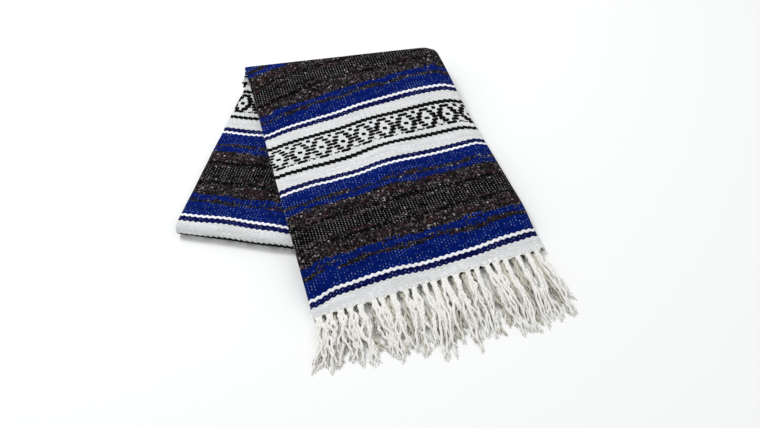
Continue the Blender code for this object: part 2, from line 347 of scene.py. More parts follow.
def cloth_layer(mesh, across, along, levels, place, chart):
    """Add a closed layer of cloth: a grid of stations raised through its levels and put in place.

    A level is a depth and how far the layer's edges draw in there, which rounds its rims.
    The chart gives the point of the weave at a station, as the layer's UV map.
    """
    columns = len(across) - 1
    rows = len(along) - 1
    weave = mesh.loops.layers.uv.verify()
    made = bmesh.ops.create_grid(mesh, x_segments=columns, y_segments=rows, size=0.5)
    layer = set(made["verts"])
    top = list({face for vert in layer for face in vert.link_faces})
    for step in range(1, len(levels)):
        raised = bmesh.ops.extrude_face_region(mesh, geom=top, use_keep_orig=True)
        if step > 1:
            bmesh.ops.delete(mesh, geom=top, context="FACES")
        top = [item for item in raised["geom"] if isinstance(item, bmesh.types.BMFace)]
        moved = [item for item in raised["geom"] if isinstance(item, bmesh.types.BMVert)]
        bmesh.ops.translate(mesh, verts=moved, vec=(0, 0, 1))
        layer.update(moved)
    layer = [vert for vert in layer if vert.is_valid]
    for face in {face for vert in layer for face in vert.link_faces}:
        for loop in face.loops:
            column = round((loop.vert.co.x + 0.5) * columns)
            row = round((loop.vert.co.y + 0.5) * rows)
            loop[weave].uv = chart(across[column], along[row])
    for vert in layer:
        column = round((vert.co.x + 0.5) * columns)
        row = round((vert.co.y + 0.5) * rows)
        depth, inset = levels[round(vert.co.z)]
        shift_across = inset * ((column == 0) - (column == columns))
        shift_along = inset * ((row == 0) - (row == rows))
        vert.co = place(across[column] + shift_across, along[row] + shift_along, depth)


def rim_levels(start, thickness):
    """Levels of one layer whose rims are round."""
    shares = [(0.0, 1.0), (0.15, 0.35), (0.5, 0.0), (0.85, 0.35), (1.0, 1.0)]
    return [(start + thickness * share, RIM_DEPTH * inset) for share, inset in shares]


def put_in_scene(name, mesh, material):
    """Turn a finished mesh into a smooth piece with its material, faces outward."""
    bmesh.ops.recalc_face_normals(mesh, faces=mesh.faces)
    if mesh.calc_volume(signed=True) < 0:
        bmesh.ops.reverse_faces(mesh, faces=mesh.faces)
    data = bpy.data.meshes.new(name)
    mesh.to_mesh(data)
    mesh.free()
    data.shade_smooth()
    data.materials.append(material)
    piece = bpy.data.objects.new(name, data)
    bpy.context.scene.collection.objects.link(piece)
    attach(piece, "root")
    return piece


class Wire:
    """A socket in a material. Operators on it add Math nodes, and node() adds any other node."""

    def __init__(self, tree, socket=None):
        self.tree = tree
        self.socket = socket

    def node(self, kind, settings, values):
        """Add a node, give it its settings, then values or links for its sockets."""
        made = self.tree.nodes.new("ShaderNode" + kind)
        for name, setting in settings.items():
            if name == "stops":
                made.color_ramp.interpolation = "CONSTANT"
                for place, colour in setting[1:]:
                    made.color_ramp.elements.new(place).color = colour
                made.color_ramp.elements[0].color = setting[0][1]
            else:
                setattr(made, name, setting)
        for name, value in values.items():
            if isinstance(value, Wire):
                self.tree.links.new(value.socket, made.inputs[name])
            else:
                made.inputs[name].default_value = value
        return Wire(self.tree, made.outputs[0] if made.outputs else None)

    def output(self, name):
        """Another output of the same node."""
        return Wire(self.tree, self.socket.node.outputs[name])

    def maths(self, operation, *values):
        """A Math node of an operation, on numbers or other wires."""
        return self.node("Math", {"operation": operation}, dict(enumerate(values)))

    def clamped(self):
        """This number, kept between 0 and 1."""
        return self.node("Clamp", {}, {"Value": self})

    def whole(self):
        """The whole number at or below this one."""
        return self.maths("FLOOR", self)

    def is_near(self, middle, reach):
        """1 where this number is within reach of the middle, and 0 elsewhere."""
        return self.maths("COMPARE", self, middle, reach)

    def blend(self, low, high):
        """Mix two colours by this number."""
        settings = {"data_type": "RGBA", "clamp_factor": True}
        made = self.node("Mix", settings, {0: self, 6: low, 7: high})
        return made.output(2)

    def __add__(self, other):
        return self.maths("ADD", self, other)

    def __sub__(self, other):
        return self.maths("SUBTRACT", self, other)

    def __rsub__(self, other):
        return self.maths("SUBTRACT", other, self)

    def __mul__(self, other):
        return self.maths("MULTIPLY", self, other)

    def __truediv__(self, other):
        return self.maths("DIVIDE", self, other)

    def __mod__(self, other):
        return self.maths("FLOORED_MODULO", self, other)

    def __gt__(self, other):
        return self.maths("GREATER_THAN", self, other)

    def __abs__(self):
        return self.maths("ABSOLUTE", self)

    __radd__ = __add__
    __rmul__ = __mul__


def empty_material(name):
    """A new material with no nodes, and the wire that adds nodes to it."""
    material = bpy.data.materials.new(name)
    material.use_nodes = True
    material.node_tree.nodes.clear()
    return material, Wire(material.node_tree)


def striped_weave(name):
    """Falsa weave from the cloth's UV map, whose units are metres across and along the blanket.

    Thick weft picks swell between the warps and swap places from one pick to the next, and each
    stripe is a count of picks from the middle of the dark band, the same way up and down.
    """
    # Millimetres, but the repeat is a count of picks and the swell a share of one
    warp_pitch = 4.26
    pick = 2.0122
    half_repeat = 74
    middle_band = 387.65
    swell = 0.36
    speck_width = 0.75
    speck_height = 1.15

    material, net = empty_material(name)
    place = net.node("UVMap", {"uv_map": "weave"}, {})
    parts = net.node("SeparateXYZ", {}, {0: place})
    across = parts * 1000
    along = parts.output("Y") * 1000

    # Picks: the edge between two picks waves up and down, a warp at a time
    warps = across / warp_pitch
    counted = (along - middle_band) / pick
    nearest = (counted + 0.5).whole()
    wave = net.maths("COSINE", warps * pi) * swell
    edge = nearest + wave * (1 - (nearest % 2) * 2)
    weft = nearest - 1 + (counted > edge)
    half_height = 0.5 - wave * (1 - (weft % 2) * 2)
    from_middle = (counted - weft - 0.5) / half_height
    dome = (1 - from_middle * from_middle).clamped()
    number = abs(weft + 0.5) - 0.5
    turn = number % (2 * half_repeat)
    fold_back = net.maths("MINIMUM", turn, 2 * half_repeat - 1 - turn)

    # Single picks stray from one stripe into the next between the dark bands and the blue ones
    streak_spot = net.node("CombineXYZ", {}, {0: across / 55, 1: weft * 0.9, 2: 0.0})
    streak = net.node("TexNoise", {"noise_dimensions": "3D"}, {"Vector": streak_spot, "Scale": 1.0})
    strays = ((streak - 0.5) * 11 + 0.5).whole() * fold_back.is_near(20.0, 11.2)
    stripe_place = (fold_back + strays + 0.5) / half_repeat

    # Stripes, counted in picks from the middle of the dark band: where each starts, its colour, and
    # its shares of mixed fibre, of pale specks and of painted shade in the grooves
    white = yarn(221, 223, 224)
    narrow_white = yarn(242, 243, 246)
    navy = yarn(7, 16, 80)
    blue = yarn(0, 25, 106)
    black = yarn(3, 3, 4)
    pin = yarn(25, 22, 24)
    brown_grey = yarn(26, 20, 24)
    tan_grey = yarn(28, 32, 44)
    band_black = yarn(9, 9, 12)
    red_fibre = yarn(86, 40, 34)
    pale_warp = yarn(190, 188, 186)
    blue_warp = yarn(146, 172, 214)
    starts = [0, 5, 8, 11, 22, 27, 30, 41, 43, 47]
    colours = [black, pin, black, brown_grey, blue, tan_grey, blue, narrow_white, navy, white]
    flecked = [0.08, 0.60, 0.10, 0.85, 0.05, 0.60, 0.0, 0.0, 0.0, 0.0]
    specked = [0.95, 0.60, 0.50, 0.38, 0.48, 0.40, 0.56, 0.0, 0.55, 0.0]
    deep = [0.80, 0.75, 0.80, 0.75, 0.65, 0.70, 0.62, 0.12, 0.70, 0.15]
    places = [start / half_repeat for start in starts]
    stops = list(zip(places, colours))
    plain = net.node("ValToRGB", {"stops": stops}, {0: stripe_place})
    traits = [(*row, 1.0) for row in zip(flecked, specked, deep)]
    trait_stops = list(zip(places, traits))
    trait = net.node("ValToRGB", {"stops": trait_stops}, {0: stripe_place})
    shares = net.node("SeparateColor", {}, {0: trait})
    speck_share = shares.output("Green")
    groove_share = shares.output("Blue")

    # Spun yarn of mixed waste fibre: each short length of a pick has its own colour
    cell = ((warps * 1.7) + weft * 0.37).whole()
    spot = net.node("CombineXYZ", {}, {0: cell, 1: weft, 2: 3.0})
    chance = net.node("TexWhiteNoise", {"noise_dimensions": "3D"}, {"Vector": spot})
    other_spot = net.node("CombineXYZ", {}, {0: cell, 1: weft, 2: 17.0})
    other = net.node("TexWhiteNoise", {"noise_dimensions": "3D"}, {"Vector": other_spot})
    mixed_stops = [
        (0.00, yarn(8, 6, 8)),
        (0.24, yarn(27, 21, 25)),
        (0.45, yarn(47, 38, 44)),
        (0.65, yarn(63, 47, 51)),
        (0.72, yarn(70, 61, 61)),
        (0.80, yarn(38, 45, 44)),
        (0.89, yarn(92, 81, 84)),
        (0.972, yarn(146, 140, 139)),
    ]
    mixed = net.node("ValToRGB", {"stops": mixed_stops}, {0: chance})
    fibres = (shares > other).blend(plain, mixed)

    # Whole stretches of a pick are redder
    patch_spot = net.node("CombineXYZ", {}, {0: across / 40, 1: along / 9, 2: 5.0})
    patch = net.node("TexNoise", {"noise_dimensions": "3D"}, {"Vector": patch_spot, "Scale": 1.0})
    reddish = ((patch - 0.56) * 6).clamped() * shares * 0.42
    ruddy = reddish.blend(fibres, red_fibre)

    # Specks: a pale warp shows at each warp in every second pick
    warp = (warps + 0.5).whole()
    beside = (warps - warp) * warp_pitch
    step = counted - 0.5 - warp + 1
    above = (step % 2 - 1) * pick
    pair = (step / 2).whole()
    speck_spot = net.node("CombineXYZ", {}, {0: warp, 1: pair, 2: 0.0})
    luck = net.node("TexWhiteNoise", {"noise_dimensions": "3D"}, {"Vector": speck_spot})
    sideways = beside / speck_width
    upward = above / speck_height
    oval = 1 - sideways * sideways - upward * upward
    crowd = 0.5 - patch
    shown = ((speck_share * 1.15 - luck + crowd * 2.2) * 1.4).clamped()
    speck = (oval * 2.0).clamped() * shown
    tint = net.node("SeparateColor", {}, {0: plain})
    bluish = ((tint.output("Blue") - tint) * 8).clamped()
    bright = bluish.blend(pale_warp, blue_warp)
    specked_cloth = (speck * 0.9).blend(ruddy, bright)

    # Figured band: two black lines, and diamonds charted in warps and rows
    line_places = (117.2, 177.0)
    line_height = 3.8
    lean = 0.31
    row_lean = 0.18
    back_leg_start = 480
    tooth = (across + 1.0) % (2 * warp_pitch) - warp_pitch
    from_band = abs(along - middle_band) % (2 * half_repeat * pick) - tooth * lean
    repeat = 8 * warp_pitch
    row_pitch = 6.15
    first_row = 125.8
    centre = 12.2
    aside = abs((across - centre + repeat / 2) % repeat - repeat / 2)
    rows = [
        ((-1.0, 8.2), (13.8, 18.0)),
        ((2.8, 13.4),),
        ((5.8, 16.8),),
        ((-1.0, 3.9), (8.2, 18.0)),
        ((5.6, 16.8),),
        ((1.4, 13.4),),
        ((-1.0, 8.4),),
    ]
    figure = 0.0
    for middle in line_places:
        off_line = (from_band - middle) / line_height
        figure = figure + ((1 - off_line * off_line) * 4).clamped()
    uneven_spot = net.node("CombineXYZ", {}, {0: across / 26, 1: along / 14, 2: 9.0})
    uneven = net.node("TexNoise", {}, {"Vector": uneven_spot, "Scale": 1.0})
    heft = 1.55 + uneven * 2.3 + across * 0.0022 + (along > back_leg_start) * 0.8
    aside = aside + (uneven - 0.5) * 2.6
    for count, dashes in enumerate(rows):
        off_row = abs(from_band + tooth * row_lean - first_row - row_pitch * count) / heft
        for start, end in dashes:
            off_dash = abs(aside - (start + end) / 2) / ((end - start) / 2)
            bar = 1 - off_row * off_row - off_dash * off_dash * off_dash * off_dash
            figure = figure + (bar * 4).clamped()
    last_row = first_row + 6 * row_pitch
    faint_row = abs(from_band - last_row) / 2.2
    faint = (1 - faint_row).clamped() * 2.4 * aside.is_near(13.8, 4.2)
    figure = (figure + faint * (luck > 0.35)).clamped()
    figured = figure.blend(specked_cloth, band_black)

    # Painted shade: the grooves between picks are darker, and no two stretches of yarn are quite
    # alike
    groove_shade = (1 - dome) * (1 - dome)
    shade_and_streaks = 1 - groove_shade * groove_share
    streaked = 1 + (streak - 0.5) * (0.3 + groove_share * 2.4)
    shade_and_streaks = shade_and_streaks * streaked * (0.94 + chance * 0.12)
    shaded_and_streaked = net.node("VectorMath", {"operation": "SCALE"}, {0: figured, "Scale": shade_and_streaks})

    # Bump: the swell of each pick, the twist of its yarn and loose fibre
    twist = net.maths("SINE", across * 2.6 + along * 1.7)
    fluff_spot = net.node("CombineXYZ", {}, {0: across * 0.9, 1: along * 1.6, 2: 0.0})
    fluff = net.node("TexNoise", {}, {"Vector": fluff_spot, "Scale": 1.0, "Detail": 3.0})
    swelling = dome * (0.35 + half_height) * (0.35 + groove_share)
    height = swelling + twist * 0.05 + fluff * 0.30
    raised = net.node("Bump", {}, {"Strength": 0.8, "Distance": 0.0009, "Height": height})
    shader = net.node(
        "BsdfPrincipled",
        {},
        {
            "Base Color": shaded_and_streaked,
            "Normal": raised,
            "Roughness": 0.95,
            "Specular IOR Level": 0.04,
            "Sheen Weight": 0.010,
            "Sheen Roughness": 0.6,
        },
    )
    net.node("OutputMaterial", {}, {"Surface": shader})
    return material


def taken_up(u, run):
    """Run of the weave: the cloth is drawn up over the top fold, most of all at its left end."""
    over = max(run, 0.0)
    top = min(over, ROLL_TOP)
    share = ROLL_TAKES_UP + ROLL_TAKES_MORE * ease(u / ROLL_LEFT_END)
    return min(run, 0.0) + share * top + over - top


def front_chart(path, run):
    """Point of the weave on the front leg's outer cloth."""
    u = path if path <= STRIP_WIDTH - BEND else 2 * (STRIP_WIDTH - BEND) + pi * BEND - path
    u = min(max(u, 0.0), STRIP_WIDTH)
    v = up_the_leg(u, taken_up(u, run))
    return path, max(v - wander(u, v), HEM_STRIPE)


striped_cloth = striped_weave("striped_cloth")
hem_run = HEM - FOLD_LENGTH_UP
flat_side = STRIP_WIDTH - BEND
bend_end = flat_side + pi * BEND
front_across = spread(0, flat_side, 106) + spread(flat_side, bend_end, 9)[1:]
front_across += spread(bend_end, bend_end + flat_side, 33)[1:]
hem_edge = hem_run + HEM_EDGE
front_along = spread(hem_run, hem_edge, 6) + spread(hem_edge, 0.0, 150)[1:]
front_along += spread(0.0, FOLD_RUN, 22)[1:]
mesh = new_weave_mesh()
cloth_layer(mesh, front_across, front_along, rim_levels(0.0, CLOTH), doubled_strip, front_chart)
front_cloth = put_in_scene("front_outer_cloth", mesh, striped_cloth)
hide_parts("front_cloth")


# Front inner layers
# The two layers inside the front leg, joined by a bend at the right. Their left edges and hem show
# between the outer cloth's own.
INNER_SHIFTS = (0.0012, 0.0004)
SHIFT_WIDTH = 0.03
EDGE_TRIM = 0.0008
FINE_EDGE = 0.020
INNER_OVERLAP = 0.0003
LAYER_TRIM = 0.0001
REGISTER_STRAY = 0.021
REGISTER_START = 0.13
REGISTER_RUN = 0.05
REGISTER_RISE = 0.03
INNER_LAST_WARP = 0.6


def inner_shift(u, v, amount):
    """How far an inner layer's edge lies in from the outer cloth's, which varies up the leg."""
    uneven = 1.5 + noise.noise(Vector((amount * 900, v * 14, 0.0)))
    return amount * ease(1 - u / SHIFT_WIDTH) * uneven


def inner_place(amount):
    """How an inner layer of the front leg is put in place."""

    def place(u, run, depth):
        return front_strip(u + inner_shift(u, run, amount), run, depth)

    return place


def inner_chart(path, run):
    """Point of the weave on an inner layer, whose stripes run out of register at the right."""
    v = up_the_leg(path, taken_up(path, run))
    stray = REGISTER_STRAY * ease((path - REGISTER_START) / REGISTER_RUN)
    stray *= ease(1 - (v - HEM) / REGISTER_RISE)
    return INNER_LAST_WARP - path, max(v - wander(path, v), HEM_STRIPE) + stray


inner_across = spread(EDGE_TRIM, FINE_EDGE, 6)
inner_across += spread(FINE_EDGE, flat_side + INNER_OVERLAP, 40)[1:]
inner_along = spread(hem_run + EDGE_TRIM, hem_edge, 6) + spread(hem_edge, 0.0, 110)[1:]
inner_along += spread(0.0, FOLD_RUN, 16)[1:]
mesh = new_weave_mesh()
for layer, amount in enumerate(INNER_SHIFTS):
    start = CLOTH + LAYER_GAP + layer * INNER_PAIR / 2
    levels = rim_levels(start + LAYER_TRIM, INNER_PAIR / 2 - 2 * LAYER_TRIM)
    cloth_layer(mesh, inner_across, inner_along, levels, inner_place(amount), inner_chart)
front_inner = put_in_scene("front_inner_cloth", mesh, striped_cloth)
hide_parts("front_inner_layers")


# Back cloth
# The outermost cloth of the leg underneath: over its top, round its turned end and back under it.
# It starts in the top fold, and its left part shows beside the front leg.
BACK_BOW = -0.0018
BACK_SHOWN = 0.15
BACK_RECESS = 0.012
BACK_CLEAR = 0.0012
PRESS_RUN = 0.030
SEAM_GAP = 0.0003
BACK_SKEW = -across_back.dot(fold_out) / along_back.dot(fold_out)
TURN_RUN = pi * BACK_LOW / 2
WRAP_RADIUS = BACK_HIGH / 4
WRAP_SHARE = 0.85
WRAP_RUN = WRAP_SHARE * pi * WRAP_RADIUS
BACK_FIRST_STRIPE = 0.4850
BACK_FIRST_WARP = 0.0018
back_creases = [
    (0.060, 0.060, 8, 0.060, 0.010, 0.0014),
    (0.050, 0.120, -6, 0.080, 0.011, -0.0012),
    (0.090, 0.170, 5, 0.090, 0.012, 0.0015),
    (0.060, 0.230, -8, 0.070, 0.012, -0.0013),
    (0.100, 0.275, 6, 0.060, 0.010, 0.0012),
    (0.015, 0.200, 86, 0.070, 0.008, 0.0010),
]


def back_ends(u):
    """How far from the fold's left end the back leg starts and turns under."""
    side = u / STRIP_WIDTH
    return BACK_SKEW * u, BACK_LENGTH + BACK_BOW * 4 * side * (1 - side)


def back_strip(u, run, depth):
    """Back leg by run from its top end, round its turned end, back under itself and up behind.

    Its top is pressed down under the front leg, and its right side is kept in under that leg.
    """
    start, end = back_ends(u)
    turned = min(max(run - BACK_LENGTH, 0), TURN_RUN)
    wrapped = max(run - 2 * BACK_LENGTH - TURN_RUN, 0)
    unrolled = run if turned == 0 else max(2 * BACK_LENGTH + turned - run, 0)
    reach = start + unrolled * (end - start) / BACK_LENGTH
    if 0 < turned < TURN_RUN:
        reach = end
    plan = back_corner + u * across_back + reach * along_back
    front_u = (plan - HEM_CORNER).dot(across_front)
    plan -= max(0, front_u - STRIP_WIDTH + BACK_RECESS) * across_front
    pressed = ease(front_u / PRESS_RUN + 1)
    lowered = max(0, back_height(reach) - under_front(plan) + BACK_CLEAR)
    middle = (back_height(reach) - pressed * lowered) / 2
    level = middle - depth * middle / (BACK_LOW / 2)
    angle = pi * turned / TURN_RUN
    if wrapped > 0:
        angle = wrapped / WRAP_RADIUS
        level -= middle / 2
        plan -= level * sin(angle) * along_back
        return Vector((plan.x, plan.y, middle / 2 - level * cos(angle)))
    plan += level * sin(angle) * along_back
    soft = relief(u, reach, back_creases) * (1 - pressed) * (1 - depth / (BACK_LOW / 2))
    soft *= 0.5 + 0.5 * cos(angle)
    return Vector((plan.x, plan.y, middle + level * cos(angle) + soft))


def back_chart(u, run):
    """Point of the weave on the back leg, whose stripes carry on from the top fold."""
    start, end = back_ends(u)
    over = min(run, BACK_LENGTH)
    reach = start + over * (end - start) / BACK_LENGTH + max(0.0, run - BACK_LENGTH)
    # Two slow waves and a slant, then the left edge, the fold and the turned end
    stray = 0.0010 * sin(u * 34 + reach * 9) + 0.0006 * sin(u * 71 - reach * 23)
    stray += (0.0011 - 0.031 * min(u, BACK_SHOWN)) * reach / BACK_LENGTH
    stray += 0.0035 * ease(1 - u / 0.08) * ease(1 - abs(reach - 0.05) / 0.09)
    stray += 0.014 * ease(1 - reach / 0.013)
    stray += (0.0036 - 0.018 * min(u, BACK_SHOWN)) * ease((reach - 0.286) / 0.03)
    return u + BACK_FIRST_WARP, BACK_FIRST_STRIPE + reach - stray


back_across = spread(0, BACK_SHOWN, 56) + spread(BACK_SHOWN, STRIP_WIDTH, 24)[1:]
back_turned = BACK_LENGTH + TURN_RUN
back_end = 2 * BACK_LENGTH + TURN_RUN
back_along = spread(SEAM_GAP, BACK_LENGTH, 120) + spread(BACK_LENGTH, back_turned, 16)[1:]
back_along += spread(back_turned, back_end, 40)[1:]
back_along += spread(back_end, back_end + WRAP_RUN, 12)[1:]
mesh = new_weave_mesh()
cloth_layer(mesh, back_across, back_along, rim_levels(0.0, CLOTH), back_strip, back_chart)
back_cloth = put_in_scene("back_outer_cloth", mesh, striped_cloth)
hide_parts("back_cloth")


# Back inner layers
# Three more layers of the same cloth, folded in inside the back leg's outer cloth and turned back
# with it. Only their left edges show.
BACK_INNER = BACK_LOW / 2 - CLOTH - 2 * LAYER_GAP
BACK_LAYERS = 3
BACK_SHIFT_FIRST = 0.0010
BACK_SHIFT_STEP = 0.0008
BACK_INNER_TRIM = 0.0015


def back_inner_place(amount):
    """How an inner layer of the back leg is put in place, its left edge drawn in unevenly."""

    def place(u, run, depth):
        uneven = 1 + noise.noise(Vector((amount * 700, run * 11, 2.0)))
        return back_strip(u + amount * ease(1 - u / SHIFT_WIDTH) * uneven, run, depth)

    return place


inner_u = spread(EDGE_TRIM, FINE_EDGE, 5)
inner_u += spread(FINE_EDGE, STRIP_WIDTH - BACK_INNER_TRIM, 24)[1:]
inner_runs = spread(SEAM_GAP, BACK_LENGTH, 80) + spread(BACK_LENGTH, back_turned, 12)[1:]
inner_runs += spread(back_turned, back_end - SEAM_GAP, 30)[1:]
mesh = new_weave_mesh()
thick = BACK_INNER / BACK_LAYERS
for layer in range(BACK_LAYERS):
    start = CLOTH + LAYER_GAP + layer * thick
    levels = rim_levels(start + LAYER_TRIM, thick - 2 * LAYER_TRIM)
    place = back_inner_place(BACK_SHIFT_FIRST + BACK_SHIFT_STEP * layer)
    cloth_layer(mesh, inner_u, inner_runs, levels, place, back_chart)
back_inner = put_in_scene("back_inner_cloth", mesh, striped_cloth)
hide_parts("back_inner_layers")


# Tail layers
# The rest of the strip, of the same cloth, lies under the front leg beside the back leg, four
# layers deep. It is hidden from above and fills the leg, as the real folds do.
TAIL_HEM_END = -0.004
TAIL_RECESS = 0.026
TAIL_CLEAR = 0.0012
TAIL_BACK_GAP = 0.003
TAIL_FOLD_GAP = 0.004
TAIL_LAYERS = 4
TAIL_LEFT = 0.010
TAIL_ROOM = 0.003
TAIL_LAST_WARP = 0.3
TAIL_FIRST_STRIPE = 0.1
TAIL_RIM = [(0.03, 1.0), (0.2, 0.3), (0.5, 0.0), (0.8, 0.3), (0.97, 1.0)]


def tail_stop(u):
    """How far up the front leg the hidden tail reaches, to the back leg or the top fold."""
    plan = HEM_CORNER + u * across_front
    from_back = plan - back_corner
    turned_end = BACK_LENGTH + BACK_LOW / 2 + TAIL_BACK_GAP
    below_back = (turned_end - from_back.dot(along_back)) / along_front.dot(along_back)
    beside = STRIP_WIDTH + TAIL_BACK_GAP - from_back.dot(across_back)
    beside /= along_front.dot(across_back)
    return min(max(below_back, beside), fold_at(u) - TAIL_FOLD_GAP)


def tail_point(u, share, rise):
    """Hidden tail: share runs from its hem end to where it stops, rise from 0 to 1."""
    v = TAIL_HEM_END + (tail_stop(u) - TAIL_HEM_END) * share
    plan = HEM_CORNER + u * across_front + v * along_front
    top = min(under_front(plan), TAIL_HEIGHT + TAIL_ROOM) - TAIL_CLEAR
    return Vector((plan.x, plan.y, rise * top))


def tail_chart(u, share):
    """Point of the weave on the hidden tail."""
    v = TAIL_HEM_END + (tail_stop(u) - TAIL_HEM_END) * share
    return TAIL_LAST_WARP - u, v + TAIL_FIRST_STRIPE


tail_across = spread(TAIL_LEFT, STRIP_WIDTH - TAIL_RECESS, 44)
tail_along = [share * share for share in spread(0, 1, 60)]
mesh = new_weave_mesh()
for layer in range(TAIL_LAYERS):
    levels = [((layer + share) / TAIL_LAYERS, RIM_DEPTH * inset) for share, inset in TAIL_RIM]
    cloth_layer(mesh, tail_across, tail_along, levels, tail_point, tail_chart)
tail_cloth = put_in_scene("tail_cloth", mesh, striped_cloth)
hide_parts("tail_layers")


# Fringe
# The warp ends past the hem: off-white two-ply yarn, knotted in groups at the hem and lying out
# on the surface, tangled and frayed. Each edge or pair of edges in the hem has a row of its own.

# The fringe as a whole and the twist of its yarn
FRINGE_LENGTH = 0.073
FRINGE_GROWTH = 0.036
FRINGE_SHORT_END = 0.012
TASSEL_LENGTHS = (0.92, 1.05)
YARN_LENGTHS = (0.74, 1.04)
SPLAY_LEFT = 0.011
SPLAY_RIGHT = 0.004
PLY_PITCH = 0.0115
PLY_LOBE = 0.13
YARN_TWIST = tau / PLY_PITCH / 2
THIN_TWIST = 2 * YARN_TWIST
UV_SCALE = 100
YARN_CLEAR = 1.46

# How tassels and their yarns differ
TASSEL_STRAY = 0.0026
MIDDLE_STRAY = 0.0045
TASSEL_LEAN = 0.009
KNOTTED_ROOT = 0.0042
LOOSE_ROOT = 0.0065
YARN_SPREAD = 0.010
YARN_STRAY = 0.0042
WILD_CHANCE = 0.12
WILD_STRAY = 0.013
YARN_LIFT = 0.0055
SLOW_WAVE = (0.0010, 0.0034)
SLOW_RATE = (5, 11)
QUICK_WAVE = (0.0002, 0.0011)
QUICK_RATE = (16, 38)

# Loose hairs, frayed ends, knots and loose threads
HAIRS = 2
HAIR_RADIUS = 0.00042
HAIR_SWING = 0.0045
HAIR_STEP = 3
FRAY_RADIUS = 0.0012
FRAY_STATIONS = 7
FRAY_FLOOR = 0.0014
FRAY_CURL = (0.0010, 0.0032)
FRAY_REACH = (0.006, 0.012)
KNOT_CHANCE = 0.35
KNOT_CHANCE_RISE = 0.55
KNOT_RADIUS = 0.0018
KNOT_STATIONS = 26
KNOT_REACH = 0.0026
KNOT_HEIGHT = 0.0021
KNOT_LENGTH = 0.0056
KNOT_TILT = 0.0025
KNOT_FLOOR = 0.0042
KNOT_TURNS = (1.7, 2.4)
KNOT_DOWN = (0.0025, 0.0055)
KNOT_SINK = (0.0006, 0.0022)
THREADS = 2
THREAD_RADIUS = 0.0008
THREAD_STATIONS = 180
THREAD_INSET = 0.002

# Depth of the row under the top, yarns in a tassel, yarn radius, share of length, stations, seed
FRINGE_ROWS = {
    "top": (CLOTH / 2, 5, 0.0022, 1.0, 58, 11),
    "middle": (STACK / 2, 4, 0.0018, 0.90, 46, 23),
    "bottom": (STACK - CLOTH / 2, 3, 0.0015, 0.70, 30, 37),
}

spool = bpy.data.meshes.new("spool")


def yarn_tube(mesh, stations, radii, sides, twist):
    """Add a twisted two-ply yarn along its stations, with closed round ends.

    The section is a figure of eight that turns as it goes along. Each yarn is made by itself on
    the spool, and then joined to its row.
    """
    tube = bmesh.new()
    weave = tube.loops.layers.uv.new("weave")
    rows = len(stations) - 1
    bmesh.ops.create_grid(tube, x_segments=sides, y_segments=rows, size=0.5)
    lengths = [0.0]
    for k in range(rows):
        lengths.append(lengths[-1] + (stations[k + 1] - stations[k]).length)
    frames = []
    side = Vector((1, 0, 0))
    for k in range(rows + 1):
        ahead = (stations[min(k + 1, rows)] - stations[max(k - 1, 0)]).normalized()
        side = (side - side.dot(ahead) * ahead).normalized()
        frames.append((side, ahead.cross(side)))
    for face in tube.faces:
        for loop in face.loops:
            row = round((loop.vert.co.y + 0.5) * rows)
            loop[weave].uv = (loop.vert.co.x + 0.5, lengths[row] * UV_SCALE)
    for vert in tube.verts:
        column = round((vert.co.x + 0.5) * sides) % sides
        row = round((vert.co.y + 0.5) * rows)
        angle = tau * column / sides
        lobes = 1 + PLY_LOBE * cos(2 * (angle - twist * lengths[row]))
        side, up = frames[row]
        reach = radii[row] * lobes
        vert.co = stations[row] + reach * (cos(angle) * side + sin(angle) * up)
    bmesh.ops.remove_doubles(tube, verts=tube.verts, dist=1e-7)
    edges = [edge for edge in tube.edges if edge.is_boundary]
    bmesh.ops.holes_fill(tube, edges=edges, sides=sides)
    tube.to_mesh(spool)
    tube.free()
    mesh.from_mesh(spool, face_normals=False, vertex_normals=False)


def fringe_path(u, root, aim, lift, waves, length, row):
    """Stations of one yarn, from its root in the hem out over the surface.

    A wave is its size, its rate, its phase and the share of the length that it takes to set in.
    """
    depth, _, radius, share, count, _ = row
    part = u / STRIP_WIDTH
    splay = SPLAY_RIGHT * ease((part - 0.8) / 0.2) - SPLAY_LEFT * ease((0.25 - part) / 0.25)
    floor_z = radius * YARN_CLEAR
    start_z = max(STACK - depth, floor_z)
    stations = []
    for t in spread(0, 1, count):
        aside = splay * share * t * t + aim * t**1.4
        for size, rate, phase, setting in waves:
            aside += size * sin(rate * t + phase) * ease(t / setting)
        plan = front_plan(u + root * (1 - 0.6 * ease(t / 0.25)), HEM - 0.001 - length * t)
        plan += aside * across_front
        z = floor_z + (start_z - floor_z) * (1 - t) ** 1.1
        z += lift * sin(pi * min(1.0, t * 1.15)) ** 0.8 if t < 0.87 else 0.0
        stations.append(Vector((plan.x, plan.y, z)))
    return stations


def yarn_radii(radius, part, phase, count):
    """Radii of one yarn, slimmer at its root and its end, with slow swells between."""
    radii = []
    for t in spread(0, 1, count):
        bulk = 1 + 0.12 * sin(phase + 31 * t) - 0.30 * t - 0.20 * t**4
        bulk *= (1.14 - 0.16 * part) * (0.76 + 0.24 * ease(t / 0.25))
        radii.append(radius * bulk * sqrt(min(1.0, (1 - t) * 9 + 0.05)))
    return radii


def loose_hair(stations, chance):
    """Stations of a loose hair that strays beside a yarn."""
    count = len(stations)
    first = chance.randrange(4, count // 2)
    swing = chance.uniform(-HAIR_SWING, HAIR_SWING)
    hair = []
    for step in range(0, count - first - 3, HAIR_STEP):
        s = step / (count - first)
        bend = swing * sin(pi * s * 1.4) + 0.0006 * sin(40 * s + swing * 2000)
        strayed = stations[first + step] + bend * across_front.to_3d()
        strayed.z += 0.0012 * sin(pi * s)
        hair.append(strayed)
    return hair


